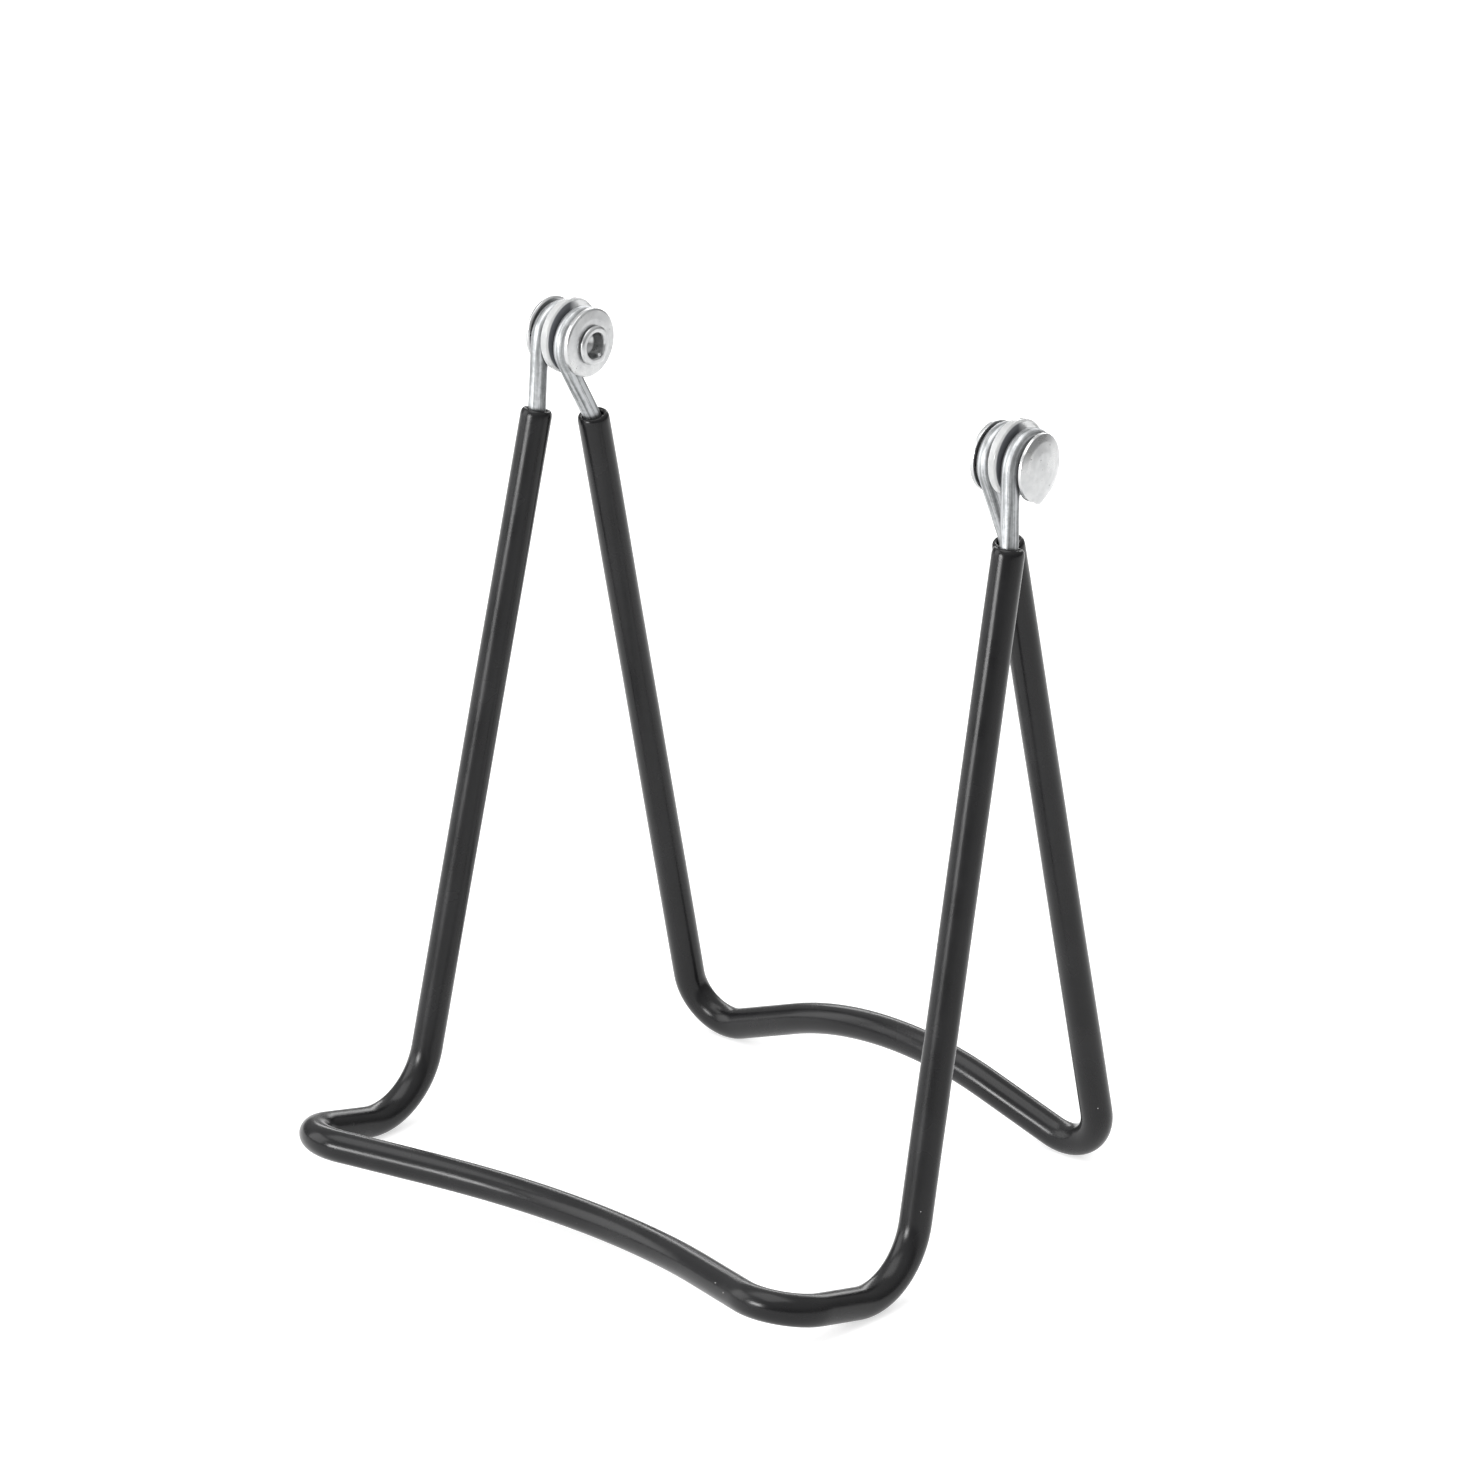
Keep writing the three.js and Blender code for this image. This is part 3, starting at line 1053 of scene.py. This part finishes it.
    def build_clinch_washer(self) -> Object:
        """Turns the dished washer: its rim bears on the back eye and its crown takes the clinch."""
        corners = [
            (2.3, -6.14, 0.05),
            (3.3, -6.1, 0.8),
            (4.46, -5.93, 0.25),
            (4.66, -5.78, 0.12),
            (4.66, -5.23, 0.08),
            (4.2, -5.23, 0.1),
            (3.2, -5.6, 0.8),
            (2.3, -5.77, 0.05),
        ]
        profile = rounded([(r * MM, a * MM, c * MM) for r, a, c in corners], looped=True)
        return self.turned("dished_washer", profile, looped=True, lift=self.clinch_lift)

    def build_friction_washer(self) -> Object:
        """Turns the nylon washer that rubs between the two eyes and holds the set angle."""
        corners = [
            (2.75, -2.7, 0.15),
            (4.85, -2.7, 0.2),
            (5.1, -2.45, 0.3),
            (5.1, -1.55, 0.3),
            (4.85, -1.3, 0.2),
            (2.75, -1.3, 0.15),
        ]
        profile = rounded([(r * MM, a * MM, c * MM) for r, a, c in corners], looped=True)
        return self.turned("nylon_washer", profile, looped=True, lift=self.washer_lift)

    def build(self, nickel: Material, nylon: Material) -> list[Object]:
        """Makes the three pieces, dresses them and puts them on the front frame's body.

        Args:
            nickel: the finish of the rivet and the dished washer.
            nylon: the finish of the friction washer.

        Returns:
            The rivet, the dished washer and the friction washer.
        """
        made = [self.build_rivet(), self.build_clinch_washer(), self.build_friction_washer()]
        rows = zip(
            made,
            (nickel, nickel, nylon),
            (Slot.RIVET, Slot.RIVET, Slot.WASHER),
            ("rivet", "clinch_washer", "friction_washer"),
        )
        for piece, finish, slot, node in rows:
            piece.data.materials.append(finish)
            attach(piece, "front_frame")
            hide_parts(f"{self.side.name.lower()}_{node}")
        return made


# ---------------------------------------------------------------- studio


@dataclass(frozen=True)
class Softbox:
    """A rectangular area light that points at the easel.

    Args:
        name: the light's name.
        azimuth: where it stands round the easel, in degrees from the front, towards +X.
        elevation: its height above the horizon, in degrees.
        distance: how far away it is.
        size: its width and height.
        watts: its power.
    """

    name: str
    azimuth: float
    elevation: float
    distance: float
    size: tuple[float, float]
    watts: float

    def build(self, target: Vector) -> Object:
        """Adds the light, aimed at the target."""
        data = bpy.data.lights.new(self.name, "AREA")
        data.shape = "RECTANGLE"
        data.size, data.size_y = self.size
        data.energy = self.watts
        lamp = bpy.data.objects.new(self.name, data)
        a, e = math.radians(self.azimuth), math.radians(self.elevation)
        back = Vector((math.sin(a) * math.cos(e), -math.cos(a) * math.cos(e), math.sin(e)))
        lamp.location = target + back * self.distance
        lamp.rotation_euler = (-back).to_track_quat("-Z", "Y").to_euler()
        bpy.context.scene.collection.objects.link(lamp)
        return lamp


@dataclass
class Studio:
    """The table top, the lights and the camera."""

    floor_half: float = 6.0
    world_levels: tuple[tuple[float, float], ...] = ((0.0, 0.25), (0.2, 0.3), (0.55, 0.85), (1.0, 1.0))
    camera_place: tuple[float, float, float] = (0.6065, -0.6957, 0.4123)
    azimuth: float = 40.99
    elevation: float = 20.75
    roll: float = 0.24
    lens: float = 186.23
    sensor: float = 36.0
    aim: tuple[float, float, float] = (0.0, 0.0, 0.055)
    boxes: tuple[Softbox, ...] = (
        Softbox("overhead_softbox", -20.0, 78.0, 1.3, (1.1, 1.1), 11.0),
        Softbox("low_softbox", -9.0, 11.5, 0.9, (0.34, 0.19), 6.0),
        Softbox("left_softbox", -52.0, 22.0, 0.9, (0.6, 0.62), 3.6),
        Softbox("rear_softbox", 214.0, 21.0, 0.9, (0.7, 0.16), 2.2),
    )

    def build_floor(self, opal: Material) -> Object:
        """Lays the table's top: a flat square at the ground's level."""
        half = self.floor_half
        mesh = bpy.data.meshes.new("table_top")
        corners = [(-half, -half, 0), (half, -half, 0), (half, half, 0), (-half, half, 0)]
        mesh.from_pydata(corners, [], [(0, 1, 2, 3)])
        mesh.materials.append(opal)
        floor = bpy.data.objects.new("table_top", mesh)
        bpy.context.scene.collection.objects.link(floor)
        return floor

    def build_world(self) -> None:
        """Lights the room from above, and leaves it dim near the horizon."""
        world = bpy.data.worlds.new("studio")
        world.use_nodes = True
        tree = world.node_tree
        tree.nodes.clear()
        direction = add_node(tree, "ShaderNodeTexCoord", {}, {}).outputs["Generated"]
        parts = add_node(tree, "ShaderNodeSeparateXYZ", {}, {"Vector": direction})
        stops = [(height, grey(level)) for height, level in self.world_levels]
        colour = ramped(tree, parts.outputs["Z"], stops)
        light = add_node(tree, "ShaderNodeBackground", {"in:Strength": 1.0}, {"Color": colour})
        add_node(tree, "ShaderNodeOutputWorld", {}, {"Surface": light.outputs["Background"]})
        bpy.context.scene.world = world

    def build_camera(self) -> Object:
        """Sets the camera: its back axis follows azimuth and elevation, and it is rolled about that."""
        a, e = math.radians(self.azimuth), math.radians(self.elevation)
        back = Vector((math.sin(a) * math.cos(e), -math.cos(a) * math.cos(e), math.sin(e)))
        right = Vector((0, 0, 1)).cross(back).normalized()
        up = back.cross(right)
        c, s = math.cos(math.radians(self.roll)), math.sin(math.radians(self.roll))
        right, up = right * c + up * s, up * c - right * s
        data = bpy.data.cameras.new("studio_camera")
        data.lens = self.lens
        data.sensor_width = self.sensor
        data.clip_start, data.clip_end = 0.01, 50.0
        camera = bpy.data.objects.new("studio_camera", data)
        turn = Matrix((right, up, back)).transposed().to_4x4()
        camera.matrix_world = Matrix.Translation(Vector(self.camera_place)) @ turn
        bpy.context.scene.collection.objects.link(camera)
        bpy.context.scene.camera = camera
        return camera

    def build(self) -> None:
        """Adds the floor, the lights and the camera."""
        self.build_floor(OpalTable().material())
        self.build_world()
        for box in self.boxes:
            box.build(Vector(self.aim))
        self.build_camera()


# ---------------------------------------------------------------- assembly


def main() -> None:
    """Builds every sub-assembly in order."""
    bpy.context.scene.view_settings.view_transform = "Standard"
    Studio().build()
    wire = GalvanisedWire().material()
    vinyl = VinylTubing().material()
    nickel = NickelPlate().material()
    nylon = NaturalNylon().material()
    front = FrontFrame(
        name="front",
        body="front_frame",
        eye_x=40.1 * MM,
        leg_top=(40.1 * MM, -1.7 * MM),
        kink_distance=9.9 * MM,
        mouth_distances=(10.3 * MM, 9.6 * MM),
        foot=(43.2 * MM, -26.0 * MM),
        foot_bend=9.8 * MM,
        bar_bend=71.4 * MM,
        eye_wrap=math.radians(272),
        phase=0.4,
    )
    back = BackFrame(
        name="back",
        body="back_frame",
        eye_x=36.1 * MM,
        leg_top=(35.3 * MM, -0.8 * MM),
        kink_distance=11.3 * MM,
        mouth_distances=(12.0 * MM, 10.5 * MM),
        foot=(36.15 * MM, 24.1 * MM),
        foot_bend=6.2 * MM,
        bar_bend=47.2 * MM,
        phase=2.1,
    )
    made = front.build(wire, vinyl) + back.build(wire, vinyl)
    right = RivetStack(
        Side.RIGHT,
        head_cock=math.radians(5.0),
        head_shrink=0.18 * MM,
        burrs=(Burr(math.radians(-86), 1.55 * MM, 0.6 * MM, width=0.2, reach=0.4 * MM),),
    )
    left = RivetStack(
        Side.LEFT,
        head_shift=(0.35 * MM, 0.35 * MM),
        clinch_lift=0.2 * MM,
        burrs=(Burr(math.radians(-56), -6.55 * MM, 0.35 * MM, width=0.24),),
    )
    for stack in (right, left):
        made += stack.build(nickel, nylon)


if __name__ == "__main__":
    main()
